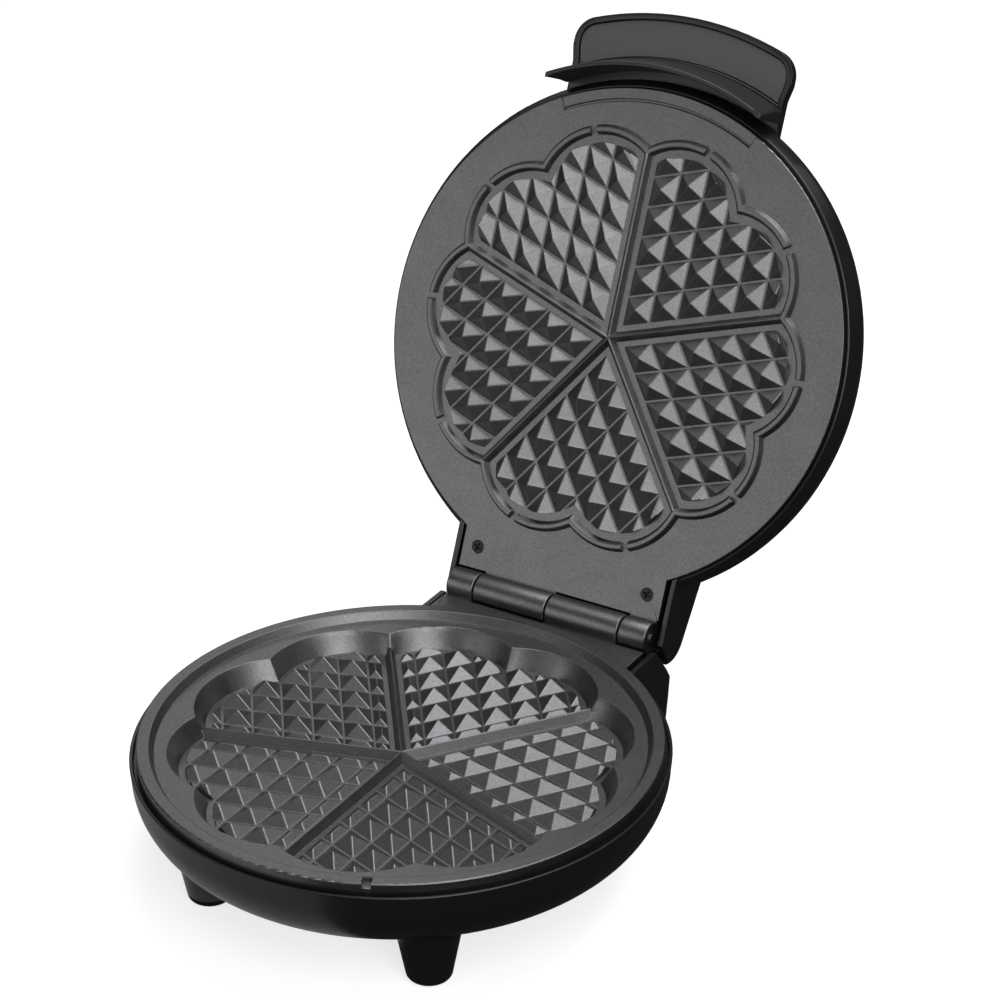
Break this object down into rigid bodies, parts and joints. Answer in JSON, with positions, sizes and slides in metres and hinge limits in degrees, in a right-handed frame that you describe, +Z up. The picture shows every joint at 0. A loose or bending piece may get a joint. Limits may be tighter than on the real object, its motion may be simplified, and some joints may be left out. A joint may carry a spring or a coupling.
{
  "type": "waffle maker",
  "caption": "Round heart-waffle maker standing open: black shells, dark non-stick plates with heart pockets, handle with finger guard.",
  "frame": {"origin": "on the table, under the middle of the open machine's bounding box", "axes": "+X along the hinge, to the right of a person in front of the handle side; +Y from the front of the base to the hinge; +Z up"},
  "size_m": [0.235, 0.3698, 0.3094],
  "materials": {
    "gloss_shell": "polished black thermoset plastic",
    "nonstick_casting": "dark fine-textured non-stick coating on cast aluminium",
    "handle_inlay": "matt dark grey",
    "guard_plastic": "satin black",
    "hinge_steel": "plain drawn steel",
    "dark_screw_steel": "blackened steel",
    "heater_sheath": "heat-stained steel",
    "shield_aluminium": "bright rolled sheet",
    "pad_rubber": "soft black",
    "terminal_nylon": "natural white",
    "lead_silicone": "white silicone and glass braid",
    "gland_plastic": "black moulded",
    "fuse_metal": "plain can",
    "red_lens": "clear red, standing for tinted plastic",
    "green_lens": "clear green, standing for tinted plastic",
    "bulb_glass": "clear"
  },
  "bodies": {
    "base": {"base_plate": "nonstick_casting", "base_shell": "gloss_shell", "front_feet": "gloss_shell", "rear_feet": "gloss_shell", "foot_pads": "pad_rubber", "foot_screws": "dark_screw_steel", "base_plate_screws": "dark_screw_steel", "base_heater": "heater_sheath", "base_heater_clips": "heater_sheath", "base_heat_shield": "shield_aluminium", "thermal_fuse": "fuse_metal", "terminal_block": "terminal_nylon", "base_wiring": "lead_silicone", "cord_gland": "gland_plastic", "cord_clamp": "gland_plastic", "hinge_pin": "hinge_steel"},
    "lid": {"lid_plate": "nonstick_casting", "lid_shell": "gloss_shell", "lid_screws": "dark_screw_steel", "handle_panel": "handle_inlay", "finger_guard": "guard_plastic", "lid_heater": "heater_sheath", "lid_heater_clips": "heater_sheath", "lid_heat_shield": "shield_aluminium", "thermostat": "fuse_metal", "lid_wiring": "lead_silicone", "power_lamp_lens": "red_lens", "ready_lamp_lens": "green_lens", "lamp_holder": "gland_plastic", "neon_bulbs": "bulb_glass"}
  },
  "joints": [
    {"name": "lid_hinge", "type": "hinge", "parent": "base", "child": "lid", "pos_m": [0, 0.05737, 0.0628], "axis": [1, 0, 0], "range_deg": [0, 113.5]}
  ]
}
